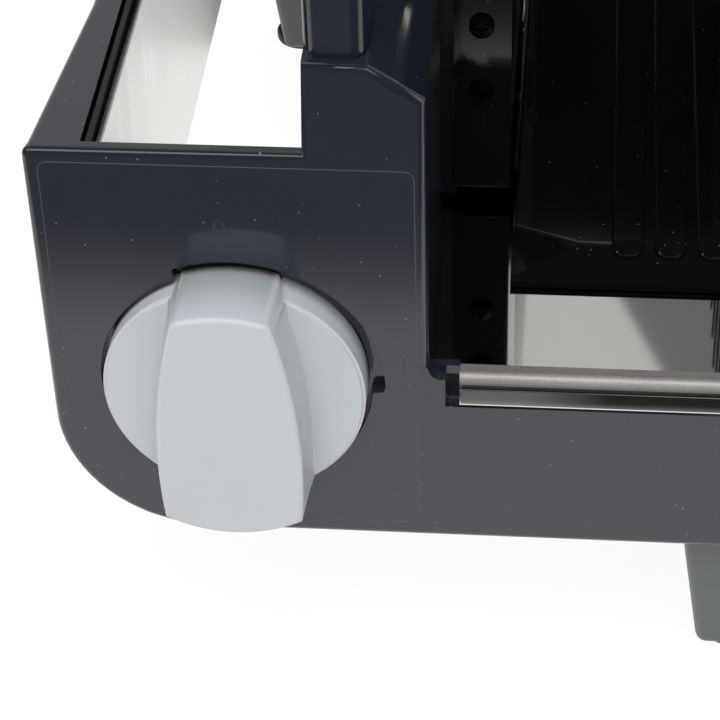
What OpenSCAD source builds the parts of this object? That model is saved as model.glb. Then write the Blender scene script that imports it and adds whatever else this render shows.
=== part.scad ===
// Electric food slicer. The machine is drawn in its own frame: X from the left side of the
// knob panel, Y back from the panel's face, Z up from the ground. place() then moves the
// middle of the footprint to the origin.

/* [Body] */
// Overall width
body_w = 250; // [246:1:280]
// Depth from the panel's face to the back
body_d = 318; // [314:1:340]
// Height of the underside above the ground
ground_gap = 45; // [40:1:55]
// Width of the knob panel
panel_w = 87; // [85:1:92]
// Height of the knob panel
panel_h = 107; // [104:1:118]
// Radius of the panel's lower left corner
corner_r = 34; // [20:1:38]
// Wall of the plastic shells
wall = 3.5; // [2.5:0.1:4]
// Depth of the front frame's box
front_d = 58; // [57:1:60]
// Height of the left side wall
side_h = 71; // [60:1:75]
// Width of the left side wall without its lining
side_w = 12.2; // [10:0.1:14]
// Length of the left side wall's tapered front part
side_taper_l = 60; // [40:1:80]
// How far the side wall narrows over that part
side_taper = 5.2; // [2:0.1:7]

/* [Post] */
// Width of the post beside the window
post_w = 26; // [24:1:30]
// Depth of the post
post_d = 46; // [36:1:46]
// Height of the post's right edge above the panel
post_rise = 14.5; // [10:0.5:20]
// Slope of the post's top in degrees
post_slope = 34; // [20:1:40]
// Width of the carry handle
handle_w = 14; // [10:1:16]
// Thickness of the carry handle's bar
handle_t = 20; // [14:1:24]
// Height of the bar's top above the post
handle_rise = 56; // [50:1:62]

/* [Knob] */
// Knob axis from the panel's left side
knob_x = 43; // [42:1:45]
// Knob axis above the underside
knob_up = 44; // [43:1:46]
// Radius of the knob's disc
disc_r = 30; // [28:0.5:30.4]
// How far the disc stands out of the panel
disc_proud = 4.2; // [3:0.1:5]
// How far the grip stands out of the panel
grip_h = 17; // [14:0.5:22]
// Radius of the grip's round ends
grip_r = 31.4; // [31.2:0.1:32]
// Largest half width of the grip
grip_half_w = 16.5; // [14:0.5:18]
// Radius of the grip's bowed sides
grip_side_r = 155; // [120:5:200]
// Distance of the grip's widest place below the axis
grip_drop = 12; // [8:1:14]
// Radius of the recess round the disc
recess_r = 31; // [30.8:0.1:31.1]
// Depth of that recess
recess_depth = 5; // [4.8:0.1:6]
// Radius of the ledge that the grip's tab runs in
ledge_r = 34.1; // [33:0.1:36]
// Depth of the ledge
ledge_depth = 3; // [2.5:0.1:3.5]
// Travel of the knob in degrees
knob_travel = 70; // [60:1:70]
// Radius of the knob's shaft
shaft_r = 4; // [3:0.5:5]

/* [Table] */
// Table surface above the underside
table_up = 48; // [47:0.5:52]
// Thickness of the table plate
plate_t = 1.2; // [1:0.1:2]
// Left end of the front rail from the panel's right side
rail_gap = 7; // [6:0.5:9]
// Height of the rail's polished strip
strip_h = 4; // [3:0.5:5]
// Radius of the rail's satin bead
bead_r = 1.9; // [1.5:0.1:2]
// Depth of the rail
rail_d = 4.8; // [4.6:0.1:6.5]
// Skirt height of the table chassis
skirt_h = 26; // [20:1:30]
// Depth of the rear beam
beam_d = 56; // [50:1:60]

/* [Stop plate] */
// Front end of the stop plate behind the panel's face
stop_y = 67; // [65:1:68]
// Depth of the stop plate's flange
flange_w = 13.7; // [12:0.1:14.5]
// Thickness of the stop plate
stop_t = 4; // [3:0.5:5]
// Gap between stop plate and table
stop_gap = 4; // [3:0.5:6]
// Height of the stop plate
stop_h = 100; // [80:1:106]
// Radius of the guide rods
rod_r = 4; // [3:0.5:5]

/* [Blade] */
// Cutting plane from the panel's left side
blade_x = 102.5; // [102:0.5:103.5]
// Blade centre behind the panel's face
blade_y = 213; // [210:1:216]
// Radius of the blade
blade_r = 85; // [80:1:86]
// How far the blade reaches below the table
blade_dip = 8; // [4:1:12]
// Thickness of the blade
blade_t = 1.6; // [1.2:0.1:2]
// Number of scallops in the edge
scallops = 60; // [40:2:72]
// Radius of one scallop
scallop_r = 2.5; // [2:0.1:2.7]
// Clearance of the stop plate round the blade
blade_clear = 4; // [3.5:0.5:5]

/* [Drive] */
// Size of a gear tooth, pitch diameter per tooth
gear_mod = 1.25; // [1.2:0.05:1.3]
// Teeth of the blade's gear
gear_teeth = 54; // [48:6:54]
// Teeth of the motor's pinion
pinion_teeth = 18; // [18:1:20]
// Teeth of the knob's pinion
knob_teeth = 20; // [18:1:20]
// Face width of the gears
gear_w = 8; // [6:0.5:9]
// Play between meshing teeth
backlash = 0.2; // [0.1:0.05:0.3]
// Direction of the motor from the blade centre in degrees
motor_angle = -30; // [-40:1:-25]
// Radius of the motor
motor_r = 28; // [22:1:30]
// Length of the motor
motor_l = 62; // [50:1:64]
// Radius of the motor's shaft
motor_shaft_r = 3; // [2:0.5:4]
// Number of fan blades
fan_blades = 8; // [6:1:12]

/* [Housing] */
// Left end of the motor housing's main shell
housing_x = 40; // [36:1:44]
// Radius of the housing behind the blade
nose_r = 60; // [56:1:64]
// Radius of the hood over the blade
hood_r = 92; // [90:1:95]
// Front of the housing's rear block
block_y = 205; // [200:1:208]
// Height of the rear block
block_h = 118; // [110:1:125]
// Corner radius of the rear block
block_r = 22; // [12:1:28]
// Number of vent slots
vents = 7; // [5:1:9]

/* [Carriage] */
// Front edge of the tray behind the panel's face
tray_y = 33.5; // [32:0.5:36]
// Length of the tray
tray_l = 145; // [136:1:147]
// Height of the tray above the table
tray_h = 8; // [7:0.5:10]
// Height of the carriage wall above the tray
push_wall_h = 52; // [40:1:60]
// Left end of the carriage wall from the cutting plane
push_wall_x = 60; // [56:1:64]
// Thickness of the pusher plate
pusher_t = 6; // [4:0.5:7]
// Length of the pusher plate
pusher_l = 100; // [80:1:105]
// Number of ribs on the tray
tray_ribs = 11; // [8:1:12]

/* [Feet and button] */
// Left end of the front foot's top
foot_x = 146; // [140:1:150]
// Slope of the foot's ends in degrees
foot_slope = 8.3; // [4:0.1:12]
// Height of the rubber pads
pad_h = 3; // [2:0.5:5]
// Radius of the rubber pads
pad_r = 9; // [6:0.5:10]
// Radius of the power button
button_r = 11; // [8:0.5:12]
// How far the button stands out
button_proud = 3.5; // [3.2:0.1:6]
// Travel of the button
button_travel = 3; // [2:0.5:3]

/* [Hidden] */
$fn = 64;

// Clearances: press seats, turning shafts, sliding flats, and loose room round moving parts
seat = 0.02;
run = 0.05;
slide = 0.3;
room = 2;
eps = 0.01;

// Heights of the frame
base_z = ground_gap;
top_z = base_z + panel_h;
knob_z = base_z + knob_up;
table_z = base_z + table_up;
deck_z = table_z - plate_t;
side_z = top_z - side_h;
bead_rise = 0.4;
rail_z = table_z - bead_r * 2 - strip_h - bead_rise;
beam_r = 18;

// Lining of the side wall
trim_t = 3.2;
lining_t = 0.8;
groove_w = 0.7;
groove_depth = 4;

// Post and handle
post_x = panel_w - post_w;
post_z = top_z + post_rise;
handle_z = post_z + (post_w - handle_w) * tan(post_slope);
handle_r = 18;
handle_end = blade_y - 30;

// Knob
tab_half = asin((grip_half_w - grip_side_r + sqrt(pow(grip_side_r, 2)
    - pow(grip_r * 0.93 + grip_drop, 2))) / grip_r);
tab_play = 2;
boss_back = recess_depth + 3;
boss_r = ledge_r + 4;
bush_r = shaft_r + 3;
shaft_tip = 8;

// Stack of the stop plate's drive, along Y behind the panel
bracket_t = 3;
bracket_back = boss_back + bracket_t;
pinion_y = bracket_back + 9;
pinion_w = 12;
clip_t = 1.2;
clip_y = pinion_y + pinion_w + seat;
slide_y = pinion_y + pinion_w + 7;
slide_d = 14;
rod_y = slide_y + slide_d / 2;
rod_z = [knob_z - 27, knob_z + 9];
bracket_rim = 8;
slide_rim = 7;
ear_t = 4;
ear_x = [side_w + 6, panel_w - wall - 5.5];
knob_pitch_r = gear_mod * knob_teeth / 2;
rack_z = knob_z - knob_pitch_r;
rack_low = rack_z - 14;
rack_foot = rack_z - 5;
rack_high = rack_z + 6;
rack_travel = knob_pitch_r * knob_travel * PI / 180;
slide_x1 = ear_x[1] - room;
slide_l = 26;
lug_w = 12;
lug_x = slide_x1 - lug_w - room;
lug_z = [knob_z - 3, knob_z + 9];
arm_up = [13, 57];
arm_z = [for (up = arm_up) table_z + up];
arm_t = 7.5;
screw_r = 1.5;
stop_screw_x = blade_x - 7;
stop_screw_z = [arm_z[1] - 24, arm_z[1] - 6];
bracket_screw_r = 20;
bracket_screw_angles = [30, 150, 210, 330];
stop_wall = 2.5;
stop_r = 1.5;
arm_y = stop_y + stop_wall;

// Cover over the drive
cover_t = 2.5;
cover_z = [knob_z + 31, knob_z + 22];

// Rail recess
rail_x = panel_w + rail_gap;
notch_x = rail_x - 3.2;
rail_back_t = 2.8;
rail_end = body_w - 1;
window_r = 3;

// Back and left ends of the table under the stop plate
shelf_gap = 48;
shelf_y = blade_y - shelf_gap;
shelf_x = ear_x[1] + ear_t + 2 * slide;

// Blade and its drive, along X
gear_r = gear_mod * gear_teeth / 2;
motor_pinion_r = gear_mod * pinion_teeth / 2;
blade_z = table_z - blade_dip + blade_r;
blade_left = blade_x - blade_t;
gear_x = blade_left - gear_w;
gear_plate_t = 4;
gear_plate_x = gear_x - 2.9 - gear_plate_t;
motor_reach = gear_r + motor_pinion_r;
motor_y = blade_y + motor_reach * cos(motor_angle);
motor_z = blade_z + motor_reach * sin(motor_angle);
motor_x = gear_plate_x - motor_l;
fan_x = motor_x - 12;
fan_w = 9;
axle_r = 5;
lock_r = 12;
blade_hole_r = 6;

// Housing and chassis
housing_end = blade_left - 1.4;
block_z = base_z + 37;
cover_x = side_taper;
chassis_x = blade_x + 2.1;
side_end = block_y;
beam_y = body_d - beam_d;
shell = 3;
vent_w = 3.2;
vent_l = 48;
vent_pitch = 8;
screw_head = 1.8;
cover_screw_places = [for (y = [block_y + 14, body_d - 14],
    z = [block_z + 24, block_z + block_h - 24]) [y, z]];
inlet_r = 6;
inlet_x = 60;
inlet_z = base_z + 20;

// Carriage
table_left = blade_x + 1.5;
tray_x1 = body_w - 12;
tray_z = table_z + slide;
tray_top = table_z + tray_h;
bar_w = 4;
bar_h = 6;
ramp_l = 9.3;
nose_h = 1.8;
ramp_y = tray_y + ramp_l;
apron_w = 22;
rib_x = table_left + apron_w + 5.2;
rib_pitch = (tray_x1 - rib_x - 6.8) / (tray_ribs - 1);
rib_w = rib_pitch * 0.75;
rib_r = 3;
rib_reach = 3.6;
rib_h = 1;
ramp_slope = atan((tray_h - rib_h - nose_h) / ramp_l);
corner_in = [1.7, 5.4];
corner_turn = -21;
corner_slope = 19;
guide_x = body_w - 9;
wall_x = blade_x + push_wall_x;
wall_y = ramp_y + 1;
wall_t = 4;
wall_top = tray_top + push_wall_h;
hook_t = 3;
pusher_y = wall_y + wall_t + slide + hook_t;
pusher_hook_l = 60;
pusher_ribs = 8;
pusher_x = wall_x - pusher_t;

// Feet and button
foot_h = base_z - pad_h;
front_foot_y = 8;
front_foot_d = 24;
left_foot_x = 30;
left_foot_w = 36;
left_foot_y = 64;
left_foot_d = 26;
rear_foot_w = 46;
rear_foot_d = 28;
rear_foot_y = beam_y + 14;
rear_foot_x = [14, body_w - 14 - rear_foot_w];
button_x = body_w - 35;
button_z = base_z + 20;
guide_l = 8;
button_flange_t = 2;
switch_y = guide_l + slide + button_flange_t + button_travel + 1;

// Moves the machine so that its footprint is centred on the origin
module place() {
    translate([-body_w / 2, (grip_h - body_d) / 2, 0]) children();
}

// Stretches an outline drawn in X and Z back along Y
module along_y(y, len) {
    translate([0, y + len, 0]) rotate([90, 0, 0]) linear_extrude(len) children();
}

// Stretches an outline drawn in Y and Z along X
module along_x(x, len) {
    translate([x, 0, 0]) rotate([90, 0, 90]) linear_extrude(len) children();
}

// Box between two corners
module block(low, high) {
    translate(low) cube(high - low);
}

// Round bar along Y, and along X
module bar_y(x, y, z, len, r) {
    translate([x, y, z]) rotate([-90, 0, 0]) cylinder(h = len, r = r);
}

module bar_x(x, y, z, len, r) {
    translate([x, y, z]) rotate([0, 90, 0]) cylinder(h = len, r = r);
}

// Rectangle with four round corners
module round_rect(low, high, r) {
    translate([low[0] + r, low[1]]) square([high[0] - low[0] - 2 * r, high[1] - low[1]]);
    translate([low[0], low[1] + r]) square([high[0] - low[0], high[1] - low[1] - 2 * r]);
    for (x = [low[0] + r, high[0] - r], z = [low[1] + r, high[1] - r])
        translate([x, z]) circle(r);
}

// Pie slice from one angle to another
module wedge(a0, a1, r) {
    steps = ceil((a1 - a0) / 30);
    polygon(concat([[0, 0]], [for (i = [0:steps])
        let (a = a0 + (a1 - a0) * i / steps) [r * cos(a), r * sin(a)]]));
}

// Involute gear outline with a tooth pointing along the phase angle
function inv(a) = tan(a) * 180 / PI - a;
function flank(n, r) = let (rb = gear_mod * n / 2 * cos(20))
    90 / n - backlash / 2 / (gear_mod * n / 2) * 180 / PI / 2 + inv(20)
    - (r > rb ? inv(acos(rb / r)) : 0);

module gear_outline(n, phase) {
    rp = gear_mod * n / 2;
    root = rp - 1.25 * gear_mod;
    tip = rp + gear_mod;
    radii = [root, for (i = [1:4]) max(root, rp * cos(20)) + (tip - max(root, rp * cos(20))) * i / 4];
    polygon([for (t = [0:n - 1]) each concat(
        [for (i = [0:4]) let (a = phase + t * 360 / n - flank(n, radii[i]))
            [radii[i] * cos(a), radii[i] * sin(a)]],
        [for (i = [4:-1:0]) let (a = phase + t * 360 / n + flank(n, radii[i]))
            [radii[i] * cos(a), radii[i] * sin(a)]])]);
}

// Outline of the front: knob panel with its big corner, post with its sloped top, and beam
module panel_outline(inset) {
    translate([corner_r, base_z + inset])
        square([panel_w - corner_r, panel_h - inset]);
    translate([inset, base_z + corner_r])
        square([corner_r - inset + 1, panel_h - corner_r]);
    translate([corner_r, base_z + corner_r]) circle(corner_r - inset);
}

module post_outline(inset) {
    polygon([[post_x + inset, top_z - post_rise], [panel_w - inset, top_z - post_rise],
        [panel_w - inset, post_z - inset],
        [post_x + handle_w, handle_z - inset], [post_x + inset, handle_z - inset]]);
}

module beam_outline(inset) {
    translate([panel_w - wall, base_z + inset])
        square([body_w - panel_w - beam_r + wall, deck_z - base_z - 2 * inset]);
    translate([body_w - beam_r, base_z + beam_r])
        square([beam_r - inset, deck_z - base_z - beam_r - inset]);
    translate([body_w - beam_r, base_z + beam_r]) circle(beam_r - inset);
}

module front_outline(inset) {
    panel_outline(inset);
    post_outline(inset);
    beam_outline(inset);
}

// Plan of the left side wall, which narrows towards the back
module side_plan(inset) {
    polygon([[inset, inset], [side_w, inset], [side_w, side_end - inset],
        [side_taper + inset, side_end - inset], [side_taper + inset, side_taper_l]]);
}

// Round inner corner between the post and the beam
module window_corner() {
    translate([panel_w, deck_z]) difference() {
        translate([-1, -1]) square(window_r + 1);
        translate([window_r, window_r]) circle(window_r);
    }
}

// Front frame: one moulding with the knob panel, the post, the front beam and the side wall
module front_frame() place() color([0.17, 0.18, 0.21]) difference() {
    union() {
        along_y(0, wall) front_outline(0);
        along_y(0, front_d) difference() {
            union() {
                intersection() {
                    panel_outline(0);
                    square([panel_w, side_z + wall]);
                }
                beam_outline(0);
            }
            intersection() {
                panel_outline(wall);
                square([panel_w - wall, side_z + 2 * wall]);
            }
            difference() {
                beam_outline(wall);
                square([panel_w, top_z]);
            }
        }
        along_y(0, post_d) difference() {
            post_outline(0);
            post_outline(wall);
        }
        block([panel_w - wall, 0, deck_z - wall], [panel_w, post_d, top_z]);
        along_y(post_d - wall, wall) post_outline(0);
        translate([0, 0, side_z]) linear_extrude(side_h) side_plan(0);
        along_y(0, boss_back) translate([knob_x, knob_z]) circle(boss_r);
        block([panel_w, eps, rail_z - wall], [body_w - wall, rail_d + slide + rail_back_t, deck_z]);
        block([left_foot_x - 6, wall, base_z],
            [left_foot_x + left_foot_w + 6, left_foot_y + left_foot_d + 2, base_z + wall]);
        bar_y(button_x, 0, button_z, guide_l, button_r + slide + wall);
        along_y(0, rail_d + slide) window_corner();
    }
    // hollow of the side wall, closed by its lining
    translate([0, 0, side_z + wall]) linear_extrude(side_h - 2 * wall)
        intersection() {
            side_plan(wall);
            translate([0, front_d]) square([side_w + 1, side_end]);
        }
    // stepped recess of the knob, and the hole of its bush
    bar_y(knob_x, -eps, knob_z, recess_depth + eps, recess_r);
    along_y(-eps, ledge_depth + eps) translate([knob_x, knob_z]) intersection() {
        circle(ledge_r);
        wedge(90 - tab_half - knob_travel - tab_play, 90 + tab_half + tab_play, ledge_r * 2);
    }
    bar_y(knob_x, 0, knob_z, boss_back + 1, bush_r + seat);
    // recess of the rail, open to the top and to the right
    block([notch_x, -eps, rail_z - 0.2], [body_w + 1, rail_d + slide, top_z]);
    // button hole
    bar_y(button_x, -1, button_z, guide_l + 2, button_r + slide);
}

// Black strip that caps the lining of the side wall
module side_trim() place() color([0.05, 0.05, 0.06]) difference() {
    along_y(wall + slide, side_end - wall - slide) polygon([[side_w, side_z],
        [side_w + trim_t, side_z], [side_w + trim_t, top_z - 1.4],
        [side_w + trim_t - 0.8, top_z - 0.5], [side_w + groove_w, top_z - 0.5],
        [side_w + groove_w, top_z - groove_depth], [side_w, top_z - groove_depth]]);
    boss_space();
}

// Stainless lining of the side wall, on the side where the slices fall
module side_plate() place() color([0.75, 0.75, 0.74]) difference() {
    block([side_w + trim_t, wall + slide, side_z],
        [side_w + trim_t + lining_t, side_end, top_z - 2.5]);
    boss_space();
}

// Room for the boss behind the knob's recess
module boss_space() {
    bar_y(knob_x, 0, knob_z, boss_back + slide, boss_r + slide);
}

// Carry handle: an arch from the post's top back to the housing
module carry_handle() place() color([0.17, 0.18, 0.21]) difference() {
    along_x(post_x, handle_w) difference() {
        union() {
            round_rect([wall, handle_z], [blade_y, handle_z + handle_rise], handle_r);
            translate([wall, handle_z]) square([post_d - wall, handle_r]);
        }
        round_rect([wall + handle_t, handle_z - handle_t],
            [2 * blade_y, handle_z + handle_rise - handle_t], handle_r - 2);
        translate([blade_y, blade_z]) circle(nose_r + 0.2);
    }
    block([0, handle_end, 0], [body_w, body_d, 2 * body_d]);
}

// Sloped cover over the stop plate's drive, with a window for the arm
module mechanism_cover() place() color([0.10, 0.10, 0.11]) difference() {
    intersection() {
        along_x(ear_x[0] - room, ear_x[1] + ear_t + slide - ear_x[0] + room) polygon([
            [wall, cover_z[0]], [front_d, cover_z[1]], [front_d, base_z],
            [front_d - cover_t, base_z], [front_d - cover_t, cover_z[1] - cover_t],
            [wall, cover_z[0] - cover_t]]);
        along_y(0, body_d) panel_outline(wall + 0.2);
    }
    block([lug_x - rack_travel - room, 0, lug_z[0] - room],
        [lug_x + lug_w + room, front_d + 1, lug_z[1] + room]);
    boss_space();
}

// Bracket behind the panel that carries the guide rods
module drive_bracket() place() color([0.62, 0.63, 0.64]) difference() {
    union() {
        block([ear_x[0], boss_back, rod_z[0] - bracket_rim], [ear_x[1] + ear_t, bracket_back, rod_z[1] + bracket_rim]);
        for (x = ear_x)
            block([x, boss_back, rod_z[0] - bracket_rim], [x + ear_t, rod_y + bracket_rim, rod_z[1] + bracket_rim]);
    }
    bar_y(knob_x, 0, knob_z, body_d, bush_r + seat);
    for (z = rod_z) bar_x(0, rod_y, z, body_w, rod_r + seat);
    block([0, pinion_y - room, rack_low], [panel_w, slide_y - 2, rack_high]);
    for (a = bracket_screw_angles) bar_y(knob_x + bracket_screw_r * cos(a), 0,
        knob_z + bracket_screw_r * sin(a), body_d, screw_r + seat);
}

// Two steel rods that the stop plate's slide runs on
module guide_rods() place() color([0.8, 0.8, 0.8])
    for (z = rod_z) bar_x(ear_x[0], rod_y, z, ear_x[1] + ear_t - ear_x[0], rod_r);

// Flanged bush of the knob's shaft
module shaft_bush() place() color([0.72, 0.60, 0.35]) difference() {
    union() {
        bar_y(knob_x, recess_depth, knob_z, bracket_back - recess_depth, bush_r);
        bar_y(knob_x, bracket_back, knob_z, 2, bush_r + 3);
    }
    bar_y(knob_x, 0, knob_z, body_d, shaft_r + run);
}

// Screws that hold the bracket, round the bush
module bracket_screws() place() color([0.7, 0.7, 0.7])
    for (a = bracket_screw_angles)
        translate([bracket_screw_r * cos(a), 0, bracket_screw_r * sin(a)]) {
            bar_y(knob_x, boss_back, knob_z, bracket_t, screw_r);
            bar_y(knob_x, bracket_back, knob_z, screw_head, screw_r * 2);
        }

// Satin rail along the table's front edge, with a round bead
module front_rail() place() color([0.62, 0.62, 0.62])
    along_x(rail_x, rail_end - rail_x) {
        translate([bead_r, table_z + bead_rise - bead_r]) circle(bead_r);
        translate([bead_r, rail_z + strip_h])
            square([rail_d - bead_r, table_z - rail_z - strip_h]);
        translate([bead_r * 0.6, rail_z + strip_h])
            square([bead_r, bead_r]);
    }

// Polished strip under the bead
module rail_strip() place() color([0.85, 0.85, 0.86])
    block([rail_x, 0, rail_z], [rail_end, rail_d, rail_z + strip_h]);

// Small screw in the gap beside the rail
module rail_screw() place() color([0.3, 0.3, 0.3])
    bar_y((notch_x + rail_x) / 2, rail_d - 2, rail_z + 1.2, 2 + slide, 0.9);

// Polished table plate, which reaches left under the stop plate and ends beside the blade
module table_plate() place() color([0.82, 0.82, 0.83])
    translate([0, 0, deck_z]) linear_extrude(plate_t) polygon([
        [panel_w + slide, rail_d + slide], [body_w - 2, rail_d + slide], [body_w - 2, body_d - 2],
        [table_left, body_d - 2], [table_left, shelf_y], [shelf_x, shelf_y],
        [shelf_x, post_d + slide], [panel_w + slide, post_d + slide]]);

// Table chassis with the rear beam, open below except where the legs are fixed
module table_chassis() place() color([0.17, 0.18, 0.21]) difference() {
    union() {
        difference() {
            union() {
                block([chassis_x, front_d, deck_z - skirt_h], [body_w - 2, body_d, deck_z]);
                block([cover_x, beam_y, base_z], [body_w - 2, body_d, block_z]);
            }
            block([chassis_x + shell, front_d + shell, 0],
                [body_w - 2 - shell, beam_y - shell, deck_z - shell]);
            block([cover_x + shell, beam_y + shell, 0],
                [body_w - 2 - shell, body_d - shell, block_z - shell]);
        }
        for (x = rear_foot_x) block([x, beam_y, base_z], [x + rear_foot_w, body_d, base_z + shell]);
    }
    bar_y(inlet_x, body_d - 2 * shell, inlet_z, 3 * shell, inlet_r + seat);
}

// Guide bar of the carriage, on the table's right side
module carriage_bar() place() color([0.8, 0.8, 0.8])
    block([guide_x, tray_y, table_z], [guide_x + bar_w, body_d - 2, table_z + bar_h]);

// Outline of the housing seen from the blade's side: nose, hood and rear block
module block_outline(inset) {
    round_rect([block_y + inset, block_z + inset],
        [body_d - inset, block_z + block_h - inset], block_r - inset);
}

module housing_outline(inset) {
    translate([blade_y, blade_z]) {
        circle(nose_r - inset);
        intersection() {
            circle(hood_r - inset);
            wedge(-45 + inset, 100 - inset, hood_r * 2);
        }
    }
    block_outline(inset);
}

// Motor housing: shell behind the blade
module motor_housing() place() color([0.17, 0.18, 0.21]) difference() {
    along_x(housing_x, housing_end - housing_x) housing_outline(0);
    along_x(housing_x + shell, housing_end) housing_outline(shell);
    along_x(housing_x - 1, shell + 2) block_outline(shell);
}

// Left cover of the motor, with a row of vent slots
module motor_cover() place() color([0.15, 0.16, 0.19]) difference() {
    along_x(cover_x, housing_x - cover_x) block_outline(0);
    along_x(cover_x + shell, housing_x) block_outline(shell);
    for (i = [0:vents - 1])
        along_x(cover_x - 1, shell + 2)
            round_rect([motor_y - vent_l / 2, motor_z + (i - (vents - 1) / 2) * vent_pitch - vent_w / 2],
                [motor_y + vent_l / 2, motor_z + (i - (vents - 1) / 2) * vent_pitch + vent_w / 2],
                vent_w * 0.48);
    for (p = cover_screw_places) bar_x(0, p[0], p[1], housing_x, screw_r + seat);
}

// Screws of the motor cover
module cover_screws() place() color([0.6, 0.6, 0.6])
    for (p = cover_screw_places) {
        bar_x(cover_x, p[0], p[1], shell, screw_r);
        bar_x(cover_x - screw_head, p[0], p[1], screw_head, screw_r * 2);
    }

// Plate that carries the blade axle and the motor
module gear_plate() place() color([0.55, 0.56, 0.57])
    along_x(gear_plate_x, gear_plate_t) difference() {
        union() {
            translate([blade_y, blade_z]) circle(nose_r - shell - slide);
            translate([motor_y, motor_z]) circle(motor_r + 4);
        }
        translate([blade_y, blade_z]) circle(axle_r + seat);
        translate([motor_y, motor_z]) circle(motor_shaft_r + run);
    }

// Motor can with its two end bells
module motor() place() color([0.45, 0.46, 0.48]) difference() {
    union() {
        bar_x(motor_x + 6, motor_y, motor_z, motor_l - 12, motor_r);
        bar_x(motor_x, motor_y, motor_z, motor_l, motor_r - 4);
    }
    bar_x(0, motor_y, motor_z, body_w, motor_shaft_r + run);
}

// Fixed axle that the blade turns on
module blade_axle() place() color([0.75, 0.75, 0.75])
    bar_x(gear_plate_x - 4, blade_y, blade_z, blade_left - 0.4 - gear_plate_x + 4, axle_r);

// Switch behind the power button
module switch_body() place() color([0.12, 0.12, 0.12]) difference() {
    union() {
        block([button_x - 12, switch_y, button_z - 9], [button_x + 12, switch_y + 18, button_z + 9]);
        for (x = [button_x - 12, button_x + 8])
            block([x, switch_y, base_z + wall], [x + 4, switch_y + 18, button_z]);
    }
    bar_y(button_x, switch_y - 1, button_z, 9, 3 + slide);
}

// Bush where a mains lead enters the rear beam
module cord_inlet() place() color([0.06, 0.06, 0.06]) difference() {
    union() {
        bar_y(inlet_x, body_d - shell, inlet_z, shell, inlet_r);
        bar_y(inlet_x, body_d - shell - 3, inlet_z, 3, inlet_r + 2);
    }
    bar_y(inlet_x, 0, inlet_z, body_d + 1, inlet_r - 2.5);
}

// Leg that narrows towards the ground
module leg(x, y, w, d) {
    taper = foot_h * tan(foot_slope);
    along_y(y, d) polygon([[x, base_z], [x + w, base_z],
        [x + w - taper, pad_h], [x + taper, pad_h]]);
}

// Light grey leg under the front beam
module front_foot() place() color([0.45, 0.47, 0.46])
    leg(foot_x, front_foot_y, body_w - 14 - foot_x, front_foot_d);

// Leg behind the knob panel
module left_foot() place() color([0.45, 0.47, 0.46])
    leg(left_foot_x, left_foot_y, left_foot_w, left_foot_d);

// Two legs under the rear beam
module rear_feet() place() color([0.45, 0.47, 0.46])
    for (x = rear_foot_x) leg(x, rear_foot_y, rear_foot_w, rear_foot_d);

// Rubber pads under the legs
module pad_pair(x, y, w, d) {
    inset = foot_h * tan(foot_slope) + pad_r;
    for (px = [x + inset, x + w - inset])
        translate([px, y + d / 2, 0]) cylinder(h = pad_h, r = pad_r);
}

module foot_pads() place() color([0.08, 0.08, 0.08]) {
    pad_pair(foot_x, front_foot_y, body_w - 14 - foot_x, front_foot_d);
    translate([left_foot_x + left_foot_w / 2, left_foot_y + left_foot_d / 2, 0])
        cylinder(h = pad_h, r = pad_r);
    for (x = rear_foot_x) pad_pair(x - 4, rear_foot_y, rear_foot_w + 8, rear_foot_d);
}

// Grip outline: bowed sides between two round ends
module grip_outline() {
    intersection() {
        circle(grip_r);
        for (s = [0, 1]) mirror([s, 0]) intersection() {
            translate([grip_half_w - grip_side_r, -grip_drop]) circle(grip_side_r, $fn = 200);
            translate([-eps, -grip_r]) square([grip_r, 2 * grip_r]);
        }
    }
}

// Thickness knob: disc with a bevelled rim, and the grip whose tab runs in the ledge
module thickness_knob() place() color([0.76, 0.78, 0.79]) difference() {
    union() {
        translate([knob_x, recess_depth - 0.5, knob_z]) rotate([90, 0, 0])
            rotate_extrude($fn = 128) polygon([[0, 0], [disc_r, 0],
                [disc_r, disc_proud + recess_depth - 2], [disc_r - 1.5, disc_proud + recess_depth - 0.5],
                [0, disc_proud + recess_depth - 0.5]]);
        along_y(-grip_h, grip_h - 0.4) translate([knob_x, knob_z]) grip_outline();
        along_y(-1, ledge_depth + 1 - slide) translate([knob_x, knob_z]) intersection() {
            grip_outline();
            translate([-grip_r, disc_r * 0.7]) square([2 * grip_r, grip_r]);
        }
    }
    bar_y(knob_x, -shaft_tip, knob_z, body_d, shaft_r + seat);
}

// Shaft from the knob to the pinion
module knob_shaft() place() color([0.75, 0.75, 0.75])
    bar_y(knob_x, 2 * run - shaft_tip, knob_z, clip_y + 2 * clip_t + shaft_tip, shaft_r);

// Pinion that drives the stop plate's rack
module knob_pinion() place() color([0.85, 0.84, 0.80])
    along_y(pinion_y, pinion_w) translate([knob_x, knob_z]) difference() {
        gear_outline(knob_teeth, -90 + 180 / knob_teeth);
        circle(shaft_r + seat);
    }

// Retaining clip on the shaft's end
module knob_clip() place() color([0.6, 0.6, 0.6]) difference() {
    bar_y(knob_x, clip_y, knob_z, clip_t, shaft_r + 3);
    bar_y(knob_x, clip_y - 1, knob_z, clip_t + 2, shaft_r + seat);
    block([knob_x - shaft_r * 0.7, clip_y - 1, knob_z - 2 * shaft_r - 2],
        [knob_x + shaft_r * 0.7, clip_y + clip_t + 1, knob_z]);
}

// Side view of the stop plate, hollowed round the blade
module stop_outline(inset) {
    difference() {
        round_rect([stop_y + inset, table_z + stop_gap + inset],
            [blade_y - blade_r / 2 - inset, table_z + stop_gap + stop_h - inset], stop_r);
        translate([blade_y, blade_z]) circle(blade_r + blade_clear + inset);
    }
}

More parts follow.
